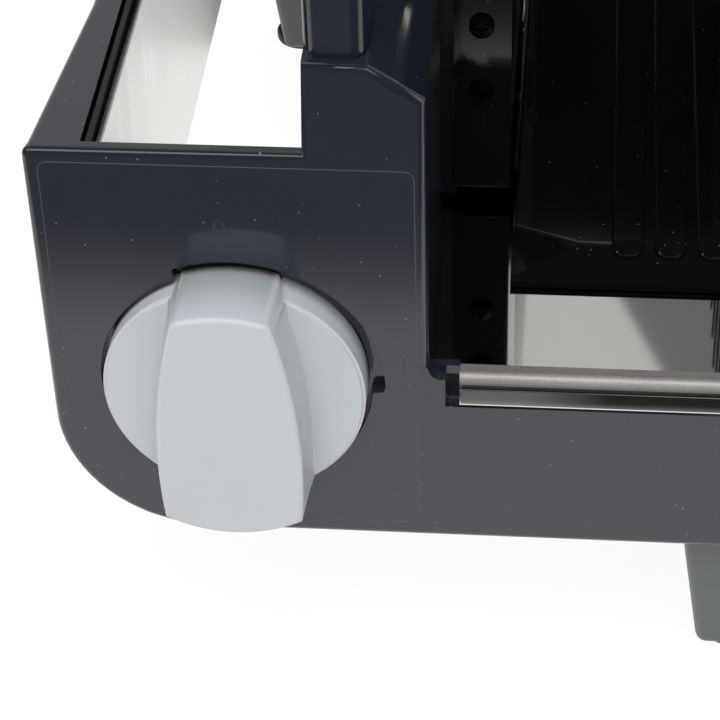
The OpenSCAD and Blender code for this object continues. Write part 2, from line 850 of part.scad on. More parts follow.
// Stop plate: face with a flange all round
module stop_plate() place() color([0.04, 0.04, 0.045]) difference() {
    union() {
        along_x(blade_x - stop_t, stop_t) stop_outline(0);
        along_x(blade_x - flange_w, flange_w) difference() {
            stop_outline(0);
            stop_outline(stop_wall);
        }
    }
    for (z = stop_screw_z) bar_y(stop_screw_x, 0, z, body_d, screw_r + seat);
}

// Slide with the rack, and the arm that carries the stop plate
module stop_slide() place() color([0.10, 0.10, 0.11]) difference() {
    union() {
        block([slide_x1 - slide_l, slide_y, rod_z[0] - slide_rim], [slide_x1, slide_y + slide_d, rod_z[1] + slide_rim]);
        rack();
        block([slide_x1 - slide_l, pinion_y, rack_low],
            [slide_x1 - 4, slide_y + eps, rack_foot]);
        block([lug_x, slide_y + slide_d - eps, lug_z[0]], [lug_x + lug_w, arm_y + arm_t, lug_z[1]]);
        block([lug_x, arm_y, lug_z[0]], [lug_x + lug_w, arm_y + arm_t, arm_z[1]]);
        block([lug_x, arm_y, table_z + stop_gap], [blade_x - flange_w - slide, arm_y + arm_t, arm_z[1]]);
        block([lug_x, arm_y, arm_z[0]], [blade_x - stop_t, arm_y + arm_t, arm_z[1]]);
    }
    for (z = rod_z) bar_x(0, rod_y, z, body_w, rod_r + run);
    for (z = stop_screw_z) bar_y(stop_screw_x, 0, z, body_d, screw_r + seat);
}

// Rack with straight flanks, in mesh with the knob's pinion
module rack() {
    pitch = PI * gear_mod;
    half = pitch / 4 - backlash / 4;
    count = ceil((rack_travel + 18) / pitch / 2) * 2;
    first = -2;
    along_y(pinion_y, pinion_w) translate([knob_x, rack_z]) {
        translate([(first - 0.5) * pitch, -12]) square([(count - first - 3) * pitch, 12 - 1.25 * gear_mod]);
        for (i = [first:count - 4]) translate([i * pitch, 0]) polygon([
            [-half - 1.25 * gear_mod * tan(20), -1.25 * gear_mod - eps],
            [half + 1.25 * gear_mod * tan(20), -1.25 * gear_mod - eps],
            [half - gear_mod * tan(20), gear_mod], [-half + gear_mod * tan(20), gear_mod]]);
    }
}

// Screws of the stop plate
module stop_screws() place() color([0.10, 0.10, 0.10])
    for (z = stop_screw_z) {
        bar_y(stop_screw_x, stop_y - screw_head, z, screw_head, screw_r * 2);
        bar_y(stop_screw_x, stop_y, z, arm_t, screw_r);
    }

// Round blade with a scalloped edge, ground on the left
module blade() place() color([0.85, 0.86, 0.87])
    translate([blade_left, blade_y, blade_z]) rotate([0, 90, 0]) difference() {
        rotate_extrude($fn = 180) polygon([[blade_hole_r, 0], [blade_r - 14, 0],
            [blade_r, blade_t - 0.2], [blade_r, blade_t], [blade_hole_r, blade_t]]);
        for (i = [0:scallops - 1]) rotate([0, 0, i * 360 / scallops])
            translate([blade_r + scallop_r - 1, 0, -1]) cylinder(h = blade_t + 2, r = scallop_r);
    }

// Gear on the back of the blade
module blade_gear() place() color([0.87, 0.86, 0.82])
    along_x(gear_x, gear_w) translate([blade_y, blade_z]) difference() {
        gear_outline(gear_teeth, motor_angle);
        circle(axle_r + run);
        for (a = [0:60:300]) rotate(a) translate([gear_r * 0.58, 0]) circle(gear_r * 0.2);
    }

// Cap that locks the blade on its gear
module blade_lock() place() color([0.10, 0.10, 0.10]) {
    bar_x(blade_left, blade_y, blade_z, blade_t, blade_hole_r - seat);
    bar_x(blade_x, blade_y, blade_z, 2, lock_r);
}

// Motor shaft
module motor_shaft() place() color([0.75, 0.75, 0.75])
    bar_x(motor_x - 14, motor_y, motor_z, gear_x + gear_w - motor_x + 14, motor_shaft_r);

// Pinion on the motor shaft
module motor_pinion() place() color([0.6, 0.6, 0.6])
    along_x(gear_x, gear_w) translate([motor_y, motor_z]) difference() {
        gear_outline(pinion_teeth, motor_angle + 180 + 180 / pinion_teeth);
        circle(motor_shaft_r + seat);
    }

// Cooling fan on the shaft's other end
module cooling_fan() place() color([0.15, 0.15, 0.15]) difference() {
    union() {
        bar_x(fan_x, motor_y, motor_z, fan_w, motor_shaft_r + 4);
        for (i = [0:fan_blades - 1]) translate([fan_x, motor_y, motor_z])
            rotate([i * 360 / fan_blades, 0, 0]) rotate([0, 0, 25])
                block([0, -0.8, motor_shaft_r + 2], [fan_w - 1, 0.8, motor_r - 4]);
    }
    bar_x(0, motor_y, motor_z, body_w, motor_shaft_r + seat);
}

// Room above a slope that falls towards the front from a line through p
module slope_cut(p, turn, slope) {
    translate(p) rotate([0, 0, turn]) rotate([slope, 0, 0])
        block([-body_w, -body_d, 0], [2 * body_w, 1, body_d]);
}

// Body of the tray: a ramp along its front edge, drawn back at the corner beside the blade
module tray_body(lift) {
    top = tray_top - rib_h + lift;
    difference() {
        block([table_left, tray_y, tray_z], [tray_x1, tray_y + tray_l, top]);
        slope_cut([table_left, ramp_y, top], 0, ramp_slope);
        slope_cut([table_left + corner_in[0], ramp_y + corner_in[1], top], corner_turn, corner_slope);
    }
}

// Food carriage tray: a flat apron, then ribs along its travel that roll over onto the ramp
module carriage_tray() place() color([0.04, 0.04, 0.045]) difference() {
    union() {
        tray_body(0);
        intersection() {
            tray_body(rib_h);
            for (i = [0:tray_ribs - 1])
                translate([rib_x + i * rib_pitch, 0, tray_z + 1]) linear_extrude(tray_h)
                    round_rect([-rib_w / 2, ramp_y - rib_reach],
                        [rib_w / 2, tray_y + tray_l - 6], rib_r);
        }
    }
    block([wall_x - slide, wall_y - slide, tray_top - rib_h],
        [tray_x1 + 1, wall_y + wall_t + slide, wall_top]);
}

// Runner that rides on the guide bar
module carriage_runner() place() color([0.10, 0.10, 0.11]) difference() {
    block([tray_x1, tray_y, tray_z], [body_w - 2, tray_y + tray_l, tray_top]);
    block([guide_x - slide, 0, 0], [guide_x + bar_w + slide, body_d, table_z + bar_h + slide]);
}

// Wall of the carriage that pushes the food, with a rounded end
module carriage_wall() place() color([0.04, 0.04, 0.045])
    along_y(wall_y, wall_t) {
        round_rect([wall_x, tray_top], [tray_x1 - 2, wall_top], 8);
        translate([wall_x, tray_top - rib_h]) square([tray_x1 - 2 - wall_x, push_wall_h / 2]);
    }

// Food pusher: ribbed plate that hooks over the carriage wall, with a round handle
module food_pusher() place() color([0.10, 0.10, 0.11]) {
    hook_z = wall_top + slide + hook_t;
    block([pusher_x, pusher_y - hook_t, tray_top + 3], [wall_x, pusher_y + pusher_l, hook_z + 1]);
    for (i = [0:pusher_ribs - 1]) translate([0, i * pusher_l / pusher_ribs, 0])
        block([pusher_x - rib_h, pusher_y + 4, tray_top + 6], [pusher_x + eps, pusher_y + 7, wall_top]);
    block([wall_x - eps, wall_y + wall_t + slide, tray_top + 3],
        [wall_x + pusher_hook_l, pusher_y, hook_z]);
    block([wall_x - eps, wall_y - slide - hook_t, wall_top + slide],
        [wall_x + pusher_hook_l, pusher_y, hook_z]);
    block([wall_x - eps, wall_y - slide - hook_t, wall_top - 8],
        [wall_x + pusher_hook_l, wall_y - slide, wall_top + slide + eps]);
    bar_x(wall_x - eps, pusher_y + pusher_l * 0.55, tray_top + push_wall_h * 0.55, 26, 9);
    bar_x(wall_x + 24, pusher_y + pusher_l * 0.55, tray_top + push_wall_h * 0.55, 12, 14);
}

// Power button with its flange and stem
module power_button() place() color([0.76, 0.78, 0.79]) {
    bar_y(button_x, -button_proud, button_z, button_proud + guide_l + slide + eps, button_r);
    bar_y(button_x, guide_l + slide, button_z, button_flange_t, button_r + 2);
    bar_y(button_x, guide_l + slide, button_z, switch_y - guide_l + 3, 3);
}

front_frame();
side_trim();
side_plate();
carry_handle();
mechanism_cover();
drive_bracket();
guide_rods();
shaft_bush();
bracket_screws();
front_rail();
rail_strip();
rail_screw();
table_plate();
table_chassis();
carriage_bar();
motor_housing();
motor_cover();
cover_screws();
gear_plate();
motor();
blade_axle();
switch_body();
cord_inlet();
front_foot();
left_foot();
rear_feet();
foot_pads();
thickness_knob();
knob_shaft();
knob_pinion();
knob_clip();
stop_plate();
stop_slide();
stop_screws();
blade();
blade_gear();
blade_lock();
motor_shaft();
motor_pinion();
cooling_fan();
carriage_tray();
carriage_runner();
carriage_wall();
food_pusher();
power_button();
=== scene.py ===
"""Electric food slicer: the looks of each piece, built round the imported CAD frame.

Sizes are in millimetres, and angles in degrees, unless a line says otherwise.
"""

import math

import bmesh
import bpy
from mathutils import Matrix, Vector


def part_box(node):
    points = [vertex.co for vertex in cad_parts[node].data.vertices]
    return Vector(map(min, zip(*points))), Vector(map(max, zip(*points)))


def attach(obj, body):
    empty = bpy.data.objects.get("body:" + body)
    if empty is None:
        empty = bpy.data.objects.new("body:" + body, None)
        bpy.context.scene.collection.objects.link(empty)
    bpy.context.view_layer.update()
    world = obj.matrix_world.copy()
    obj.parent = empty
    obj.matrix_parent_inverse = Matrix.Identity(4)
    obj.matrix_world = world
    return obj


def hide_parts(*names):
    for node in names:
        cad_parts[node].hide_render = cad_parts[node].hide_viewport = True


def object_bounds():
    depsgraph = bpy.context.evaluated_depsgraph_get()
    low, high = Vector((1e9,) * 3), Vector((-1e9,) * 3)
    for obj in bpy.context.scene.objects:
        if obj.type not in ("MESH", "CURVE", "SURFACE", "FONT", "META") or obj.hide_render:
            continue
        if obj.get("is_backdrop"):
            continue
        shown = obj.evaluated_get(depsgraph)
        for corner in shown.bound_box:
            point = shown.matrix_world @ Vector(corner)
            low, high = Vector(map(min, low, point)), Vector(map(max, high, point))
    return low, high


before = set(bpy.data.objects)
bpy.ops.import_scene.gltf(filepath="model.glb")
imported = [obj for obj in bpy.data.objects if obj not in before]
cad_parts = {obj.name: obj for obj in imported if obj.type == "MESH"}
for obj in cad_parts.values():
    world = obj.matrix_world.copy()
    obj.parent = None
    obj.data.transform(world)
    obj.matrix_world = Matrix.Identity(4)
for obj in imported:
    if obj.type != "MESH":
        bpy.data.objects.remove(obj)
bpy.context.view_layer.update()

# Front frame: one glossy moulding with the knob panel, the post beside the window, the beam under
# the rail and the left side wall. Its outer edges are well rounded, those of its recesses hardly.
front_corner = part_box("front_frame")[0]
RIM_R = 1.9
RECESS_EDGE_R = 0.3
PANEL_TOP = 152.0
PANEL_W = 87.0
PANEL_T = 3.5
WALL_STEP = 0.304
POST_FOOT = 0.7
UNDERSIDE = 45.0
CORNER_R = 34.0
BEAM_R = 18.0
BEAM_TOP = 91.8
POST_LEFT = 61.0
WINDOW_R = 3.0
WINDOW_RUNOUT = 1.5
LONG_EDGE = 30.0
WALL_SPLAY = 5.3
SPLAY_RUN = 60.0
NOTCH_X = 90.8
NOTCH_Z = 84.6
NOTCH_D = 5.2
NOTCH_DROP = 0.6
UNDERSIDE_DROP = 1.6
SIDE_LEAN = 0.33
FRAME_W = 250.0
KNOB_X = 43.0
KNOB_Z = 89.0
RECESS_R = 31.0
LEDGE_R = 34.1
LEDGE_END_R = 1.2
TOL = 0.1
FINE_TOL = 0.05
MERGE = 0.01
FLAT_ANGLE = 0.5
DUST_COLOUR = (200, 202, 205)
DUST_TURN = (0.3, 0.7, 0.5)  # radians
NOISE_RANGE = (0.3, 0.7)


def at(x, y, z):
    """A place given in millimetres from the panel's left side, from its face and from the ground."""
    return Vector((front_corner.x + x / 1000, front_corner.y + y / 1000, z / 1000))


def mm(vert):
    """The same millimetres for a vertex."""
    return (vert.co.x - front_corner.x) * 1000, (vert.co.y - front_corner.y) * 1000, vert.co.z * 1000


def screen(r, g, b):
    """A colour as a screen shows it, 0 to 255, as linear light."""
    return [((c / 255 + 0.055) / 1.055) ** 2.4 if c > 10 else c / 255 / 12.92 for c in (r, g, b)] + [1.0]


def solid_of(node):
    """A merged copy of a CAD solid, with its flat triangles joined into whole faces."""
    bm = bmesh.new()
    bm.from_mesh(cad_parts[node].data)
    bmesh.ops.remove_doubles(bm, verts=bm.verts, dist=MERGE / 1000)
    bmesh.ops.dissolve_limit(bm, angle_limit=math.radians(FLAT_ANGLE), use_dissolve_boundaries=False,
                             verts=bm.verts, edges=bm.edges)
    return bm


def sharp_edges(bm, pick=lambda a, b: True, convex=None, angle=30):
    """The sharp edges that pick chooses by the millimetres of their two ends."""
    return [e for e in bm.edges if len(e.link_faces) == 2 and e.calc_face_angle(0) > math.radians(angle)
            and (convex is None or e.is_convex == convex) and pick(mm(e.verts[0]), mm(e.verts[1]))]


def both_ends(test):
    """A pick of the edges that have both ends where the test says."""
    return lambda a, b: test(a) and test(b)


def bevel(bm, edges, width, segments=3, clamp=False):
    """Rounds the edges."""
    bmesh.ops.bevel(bm, geom=edges, offset=width / 1000, offset_type="OFFSET", segments=segments,
                    profile=0.5, affect="EDGES", clamp_overlap=clamp, material=-1)


def even_normals(obj):
    """Lets the big flat faces rule the shading of the roundings beside them."""
    normals = obj.modifiers.new("even_normals", "WEIGHTED_NORMAL")
    normals.keep_sharp = True
    normals.weight = 100


def finish_piece(name, bm, material, body, slot, *nodes, sharp=32):
    """Makes the mesh an object that rides on a body and stands for its CAD nodes."""
    mesh = bpy.data.meshes.new(name)
    bm.to_mesh(mesh)
    bm.free()
    mesh.shade_smooth()
    mesh.set_sharp_from_angle(angle=math.radians(sharp))
    mesh.materials.append(material)
    obj = bpy.data.objects.new(name, mesh)
    bpy.context.scene.collection.objects.link(obj)
    even_normals(obj)
    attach(obj, body)
    if nodes:
        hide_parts(*nodes)


def add(tree, kind, inputs=(), **settings):
    """Adds a shader node; an input is a value or the socket that feeds it."""
    made = tree.nodes.new("ShaderNode" + kind)
    for key, value in settings.items():
        setattr(made, key, value)
    for key, value in dict(inputs).items():
        if isinstance(value, bpy.types.NodeSocket):
            tree.links.new(value, made.inputs[key])
        else:
            made.inputs[key].default_value = value
    return made


def ramp(tree, value, source, target, **settings):
    """Maps a value from one range to another."""
    inputs = {"Value": value, "From Min": source[0], "From Max": source[1],
              "To Min": target[0], "To Max": target[1]}
    return add(tree, "MapRange", inputs, **settings).outputs["Result"]


def new_finish(name):
    """A fresh material, its node tree, its shader and its object coordinates."""
    made = bpy.data.materials.new(name)
    made.use_nodes = True
    tree = made.node_tree
    return made, tree, tree.nodes["Principled BSDF"], add(tree, "TexCoord").outputs["Object"]


def specks(tree, place, scale, stretch, size, share):
    """Scattered dust: round or drawn-out dots of uneven strength, in a share of the cells."""
    cells = add(tree, "Mapping", {"Vector": place, "Rotation": DUST_TURN, "Scale": stretch})
    dots = add(tree, "TexVoronoi", {"Vector": cells.outputs["Vector"], "Scale": scale})
    near = ramp(tree, dots.outputs["Distance"], (size * 0.5, size), (1.0, 0.0))
    luck = add(tree, "SeparateColor", {"Color": dots.outputs["Color"]}).outputs["Red"]
    kept = ramp(tree, luck, (1 - share, 1.0), (0.0, 1.0))
    return add(tree, "Math", {0: near, 1: kept}, operation="MULTIPLY").outputs[0]


def moulded(name, colour, rough, ior=1.5, dust=0.0, grain=0.015):
    """Moulded plastic: faint clouding, uneven gloss, fine grain, and dust where it is glossy."""
    made, tree, shader, place = new_finish(name)
    cloud = add(tree, "TexNoise", {"Vector": place, "Scale": 22.0, "Detail": 4.0}).outputs["Fac"]
    tint = add(tree, "Mix", {0: cloud, 6: [c * 0.94 for c in colour[:3]] + [1.0],
                             7: [c * 1.06 for c in colour[:3]] + [1.0]}, data_type="RGBA").outputs[2]
    if dust:
        dots = specks(tree, place, scale=480.0, stretch=(1.0, 1.0, 1.0), size=0.09, share=0.35)
        lint = specks(tree, place, scale=150.0, stretch=(1.0, 1.0, 0.25), size=0.035, share=0.5)
        both = add(tree, "Math", {0: dots, 1: lint}, operation="MAXIMUM").outputs[0]
        both = add(tree, "Math", {0: both, 1: dust}, operation="MULTIPLY").outputs[0]
        tint = add(tree, "Mix", {0: both, 6: tint, 7: screen(*DUST_COLOUR)}, data_type="RGBA").outputs[2]
    tree.links.new(tint, shader.inputs["Base Color"])
    smear = add(tree, "TexNoise", {"Vector": place, "Scale": 60.0, "Detail": 5.0}).outputs["Fac"]
    gloss = ramp(tree, smear, NOISE_RANGE, (rough * 0.85, rough * 1.2))
    tree.links.new(gloss, shader.inputs["Roughness"])
    pores = add(tree, "TexNoise", {"Vector": place, "Scale": 1800.0, "Detail": 2.0}).outputs["Fac"]
    bump = add(tree, "Bump", {"Height": pores, "Strength": grain, "Distance": 0.0002}).outputs["Normal"]
    tree.links.new(bump, shader.inputs["Normal"])
    shader.inputs["IOR"].default_value = ior
    return made


def on_rim(p):
    """On the outer outline of the front face, or on the side wall's outer top edge."""
    x, y, z = p
    if z > PANEL_TOP - TOL and x < WALL_SPLAY * min(y / SPLAY_RUN, 1) + TOL:
        return True
    if y > FINE_TOL:
        return False
    return (x < TOL or z < UNDERSIDE + TOL or x > FRAME_W - TOL
            or (abs(z - PANEL_TOP) < TOL and x < POST_LEFT + TOL)
            or (abs(x - POST_LEFT) < POST_FOOT + TOL and z > PANEL_TOP - TOL)
            or (x < CORNER_R and z < UNDERSIDE + CORNER_R
                and abs(math.hypot(x - CORNER_R, z - UNDERSIDE - CORNER_R) - CORNER_R) < TOL)
            or (x > FRAME_W - BEAM_R and z < UNDERSIDE + BEAM_R
                and abs(math.hypot(x - FRAME_W + BEAM_R, z - UNDERSIDE - BEAM_R) - BEAM_R) < TOL))


def on_window(p):
    """On the post's front edge beside the window, or on its sloped top."""
    x, y, z = p
    on_side = x > PANEL_W - TOL or z > PANEL_TOP + 1
    return on_side and y < FINE_TOL and z > BEAM_TOP + WINDOW_R - FINE_TOL


def on_recess(p):
    """On the front edge of the knob's recess or of its ledge."""
    x, y, z = p
    return y < FINE_TOL and math.hypot(x - KNOB_X, z - KNOB_Z) < LEDGE_R + 2 * TOL


def at_ledge_end(a, b):
    """Along one of the corners where the ledge ends, from the panel's face inwards."""
    reach = math.hypot(a[0] - KNOB_X, a[2] - KNOB_Z)
    return (math.hypot(a[0] - b[0], a[2] - b[2]) < FINE_TOL and RECESS_R - TOL < reach < LEDGE_R + TOL
            and min(a[1], b[1]) < FINE_TOL)


frame_plastic = moulded("frame_plastic", screen(29, 32, 40), rough=0.1, ior=1.6, dust=0.6)
shell = solid_of("front_frame")
for v in shell.verts:
    x, y, z = mm(v)
    if x < TOL and abs(y - PANEL_T) < TOL and z > UNDERSIDE + CORNER_R:
        v.co.x += WALL_STEP / 1000
    if abs(x - POST_LEFT) < TOL and y < PANEL_T + TOL and abs(z - PANEL_TOP) < TOL:
        v.co.x -= POST_FOOT / 1000
bmesh.ops.remove_doubles(shell, verts=shell.verts, dist=2 * MERGE / 1000)
for e in sharp_edges(shell, both_ends(on_window)):
    low_end, high_end = sorted(e.verts, key=lambda v: v.co.z)
    if high_end.co.z - low_end.co.z > LONG_EDGE / 1000:
        bmesh.utils.edge_split(e, low_end, WINDOW_RUNOUT / 1000 / e.calc_length())
rim = sharp_edges(shell, lambda a, b: (on_rim(a) and on_rim(b)) or (on_window(a) and on_window(b)))
for v in {v for e in rim for v in e.verts}:
    x, y, z = mm(v)
    low = z < UNDERSIDE + CORNER_R
    if y < FINE_TOL and (low or x < TOL):
        lean = SIDE_LEAN * (z - UNDERSIDE - CORNER_R) / CORNER_R if not low else 0
        v.co += Vector((-lean if x < CORNER_R else 0, 0, -UNDERSIDE_DROP if low else 0)) / 1000
for v in shell.verts:
    x, y, z = mm(v)
    if x > NOTCH_X - TOL and y < NOTCH_D and abs(z - NOTCH_Z) < TOL:
        v.co.z -= NOTCH_DROP / 1000
bevel(shell, rim, RIM_R, segments=6)
bevel(shell, sharp_edges(shell, at_ledge_end), LEDGE_END_R, segments=4, clamp=True)
bevel(shell, sharp_edges(shell, both_ends(on_recess)), RECESS_EDGE_R, segments=2, clamp=True)
finish_piece("front_shell", shell, frame_plastic, "body", "frame_plastic", "front_frame")

# Fine raised line round the knob panel, moulded in one with it. It has three small corners, and a big
# one that follows the panel's outline. Its lighter grey is a painted highlight for the light on its ridge.
LINE_IN = 3.0
LINE_TOP = 148.8
LINE_RIGHT = 84.4
LINE_CORNER_R = 2.2
LINE_W = 0.26
LINE_H = 0.06
LINE_SUNK = 0.02


def arc(x, z, r, start, end, steps):
    """Points of an arc in the panel's face, angles in degrees from its right side."""
    turns = [math.radians(start + (end - start) * i / steps) for i in range(steps + 1)]
    return [(x + r * math.cos(t), z + r * math.sin(t)) for t in turns]


def raised_line(path, width, height):
    """A low bead on the panel's face along a closed path."""
    bm = bmesh.new()
    section = ((-width / 2, LINE_SUNK), (-width / 4, -height), (width / 4, -height), (width / 2, LINE_SUNK))
    rings = []
    for i, (x, z) in enumerate(path):
        after, before = path[(i + 1) % len(path)], path[i - 1]
        along = Vector((after[0] - before[0], after[1] - before[1])).normalized()
        rings.append([bm.verts.new(at(x + along.y * side, y, z - along.x * side)) for side, y in section])
    for here, there in zip(rings, rings[1:] + rings[:1]):
        for i in range(len(section)):
            bm.faces.new((here[i - 1], here[i], there[i], there[i - 1]))
    bmesh.ops.recalc_face_normals(bm, faces=bm.faces)
    return bm


small = LINE_CORNER_R
line_path = (arc(LINE_RIGHT - small, LINE_TOP - small, small, 0, 90, 6)
             + arc(LINE_IN + small, LINE_TOP - small, small, 90, 180, 6)
             + arc(CORNER_R, UNDERSIDE + CORNER_R, CORNER_R - LINE_IN, 180, 270, 24)
             + arc(LINE_RIGHT - small, UNDERSIDE + LINE_IN + small, small, 270, 360, 6))
# Painted highlight: the line's grey is lighter than the panel's, standing for the light its ridge catches.
line_painted_highlight = moulded("line_painted_highlight", screen(60, 64, 71), rough=0.25)
finish_piece("panel_line", raised_line(line_path, LINE_W, LINE_H), line_painted_highlight, "body", "frame_plastic")

# The plain numbers 0 and 1 at the ends of the knob's travel. They are printed on the panel, in a tone
# close to its own. Each row holds the number, its height, and its place across and up.
MARKS = (("0", 5.0, KNOB_X - 1.3, 132.3), ("1", 4.2, 81.5, 95.3))
FONT_RATIO = 1.35
MARK_T = 0.01
MARK_PROUD = 0.02
mark_grey = moulded("mark_grey", screen(39, 42, 50), rough=0.2)
for figure, height, x, z in MARKS:
    letter = bpy.data.curves.new("mark_" + figure, "FONT")
    letter.body = figure
    letter.size = height * FONT_RATIO / 1000
    letter.extrude = MARK_T / 1000
    letter.align_x = "CENTER"
    letter.align_y = "CENTER"
    typed = bpy.data.objects.new("typed_" + figure, letter)
    bpy.context.scene.collection.objects.link(typed)
    bpy.context.view_layer.update()
    flat = typed.evaluated_get(bpy.context.evaluated_depsgraph_get()).to_mesh()
    printed = bmesh.new()
    printed.from_mesh(flat)
    bpy.data.objects.remove(typed)
    printed.transform(Matrix.Translation(at(x, -MARK_PROUD, z)) @ Matrix.Rotation(math.radians(90), 4, "X"))
    finish_piece("mark_" + figure, printed, mark_grey, "body", "frame_plastic")

# Lining of the side wall: a black strip along its top and a brushed stainless sheet below it, both let
# into the wall's inner side.
SOFT_ANGLE = 35
EVEN_GRAIN = (0.6, 1.4)


def dress(node, material, width=0.0, segments=2):
    """Gives a CAD node its finish, and softens its edges where a width is given."""
    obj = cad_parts[node]
    obj.data.materials.clear()
    obj.data.materials.append(material)
    if width:
        obj.modifiers.new("merge", "WELD").merge_threshold = MERGE / 1000
        whole = obj.modifiers.new("whole_faces", "DECIMATE")
        whole.decimate_type = "DISSOLVE"
        whole.angle_limit = math.radians(FLAT_ANGLE)
        soft = obj.modifiers.new("soft_edges", "BEVEL")
        soft.width = width / 1000
        soft.segments = segments
        soft.limit_method = "ANGLE"
        soft.angle_limit = math.radians(SOFT_ANGLE)
        soft.use_clamp_overlap = True
        even_normals(obj)


def steel(name, colour, rough, streak=(1, 1, 1), depth=0.02, fine=900.0, uneven=0.07, bare=1.0):
    """Metal, bare or dulled, with a grain along the axis of the smallest streak number."""
    made, tree, shader, place = new_finish(name)
    grain = add(tree, "Mapping", {"Vector": place, "Scale": streak}).outputs["Vector"]
    lines = add(tree, "TexNoise", {"Vector": grain, "Scale": fine, "Detail": 3.0}).outputs["Fac"]
    cloud = add(tree, "TexNoise", {"Vector": place, "Scale": 14.0, "Detail": 3.0}).outputs["Fac"]
    both = add(tree, "Math", {0: lines, 1: cloud}, operation="ADD").outputs[0]
    tint = ramp(tree, both, EVEN_GRAIN, (1 - uneven, 1 + uneven))
    base = add(tree, "VectorMath", {0: colour[:3], "Scale": tint}, operation="SCALE").outputs["Vector"]
    tree.links.new(base, shader.inputs["Base Color"])
    gloss = ramp(tree, both, EVEN_GRAIN, (rough * 0.8, rough * 1.3))
    tree.links.new(gloss, shader.inputs["Roughness"])
    bump = add(tree, "Bump", {"Height": lines, "Strength": depth, "Distance": 0.0001}).outputs["Normal"]
    tree.links.new(bump, shader.inputs["Normal"])
    shader.inputs["Metallic"].default_value = bare
    return made


brushed = steel("brushed_steel", screen(205, 204, 201), rough=0.3, streak=(1, 1, 0.02), depth=0.05)
trim_black = moulded("trim_black", screen(9, 9, 10), rough=0.2, ior=1.35)
dress("side_trim", trim_black, width=0.3)
dress("side_plate", brushed)

# Thickness knob: satin plastic disc with a barrel grip, moulded in one. The grip's sides lean in
# towards the front, and a soft fillet joins it to the disc.
DISC_R = 30.0
DISC_FRONT = -4.2
GRIP_FRONT = -17.0
GRIP_HALF = 16.5
GRIP_DROP = 12.0
GRIP_SIDE_R = 155.0
GRIP_LEAN = 0.08
GRIP_EDGE_R = 1.1
GRIP_START = DISC_FRONT - 1.5
DISC_CHAMFER = 1.5
DISC_EDGE_R = 0.8
FOOT_FILLET_R = 2.0


def on_grip_side(p):
    """On one of the grip's bowed sides."""
    x, y, z = p
    reach = math.hypot(abs(x - KNOB_X) + GRIP_SIDE_R - GRIP_HALF, z - KNOB_Z + GRIP_DROP)
    return y < 0 and abs(reach - GRIP_SIDE_R) < FINE_TOL


def on_disc_rim(p):
    """On the disc's bevelled rim."""
    x, y, z = p
    reach = math.hypot(x - KNOB_X, z - KNOB_Z)
    return DISC_FRONT - TOL < y < 0 and DISC_R - DISC_CHAMFER - TOL < reach < DISC_R + TOL


knob_grey = moulded("knob_grey", screen(180, 184, 187), rough=0.42, grain=0.03)
knob = solid_of("thickness_knob")
foot = [v for v in knob.verts if on_grip_side(mm(v))]
foot_edges = [e for e in knob.edges if not e.is_convex and e.verts[0] in foot and e.verts[1] in foot
              and all(abs(mm(v)[1] - DISC_FRONT) < FINE_TOL for v in e.verts)]
for v in knob.verts:
    x, y, z = mm(v)
    reach = math.hypot(x - KNOB_X, z - KNOB_Z)
    if abs(y - DISC_FRONT) < FINE_TOL and abs(reach - DISC_R + DISC_CHAMFER) < FINE_TOL:
        spread = (DISC_R - DISC_EDGE_R) / reach
        v.co = at(KNOB_X + (x - KNOB_X) * spread, y, KNOB_Z + (z - KNOB_Z) * spread)
    elif abs(y - DISC_FRONT - DISC_CHAMFER) < FINE_TOL and abs(reach - DISC_R) < FINE_TOL:
        v.co = at(x, DISC_FRONT + DISC_EDGE_R, z)
for v in foot:
    x, y, _ = mm(v)
    v.co.x += math.copysign((min(y, DISC_FRONT) - GRIP_FRONT) * GRIP_LEAN / 1000, x - KNOB_X)
bevel(knob, foot_edges, FOOT_FILLET_R, segments=4, clamp=True)
grip_edges = sharp_edges(knob, both_ends(lambda p: p[1] < GRIP_START), convex=True)
bevel(knob, grip_edges, GRIP_EDGE_R, segments=4)
disc_edges = sharp_edges(knob, both_ends(on_disc_rim), convex=True)
bevel(knob, disc_edges, DISC_EDGE_R / 4, clamp=True)
finish_piece("knob_body", knob, knob_grey, "knob", "knob_grey", "thickness_knob")

# Front rail: satin aluminium bead along the front of the table, with a fine cast grain. Its colour carries
# a painted highlight along its crest, and painted shade on the faces turned down and at its very top.
CREST_HIGHLIGHT_RISE = (-0.2, 0.6)
CREST_HIGHLIGHT_RANGE = (0.3, 1.1)
TOP_SHADE_RISE = (0.75, 1.0)
TOP_SHADE_RANGE = (1.0, 0.45)
satin = steel("satin_aluminium", screen(178, 174, 171), rough=0.45, depth=0.5, fine=2600.0, uneven=0.3,
              bare=0.5)
tree = satin.node_tree
shader = tree.nodes["Principled BSDF"]
# Painted highlight and shade: the grain colour is scaled by how far the surface faces up.
facing_up = add(tree, "SeparateXYZ", {0: add(tree, "TexCoord").outputs["Normal"]}).outputs["Z"]
painted_crest_highlight = ramp(tree, facing_up, CREST_HIGHLIGHT_RISE, CREST_HIGHLIGHT_RANGE)
painted_top_shade = ramp(tree, facing_up, TOP_SHADE_RISE, TOP_SHADE_RANGE)
painted_light_scale = add(tree, "Math", {0: painted_crest_highlight, 1: painted_top_shade}, operation="MULTIPLY").outputs[0]
grain_colour = shader.inputs["Base Color"].links[0].from_socket
painted_light_colour = add(tree, "VectorMath", {0: grain_colour, "Scale": painted_light_scale}, operation="SCALE").outputs["Vector"]
tree.links.new(painted_light_colour, shader.inputs["Base Color"])
dress("front_rail", satin, width=0.1)

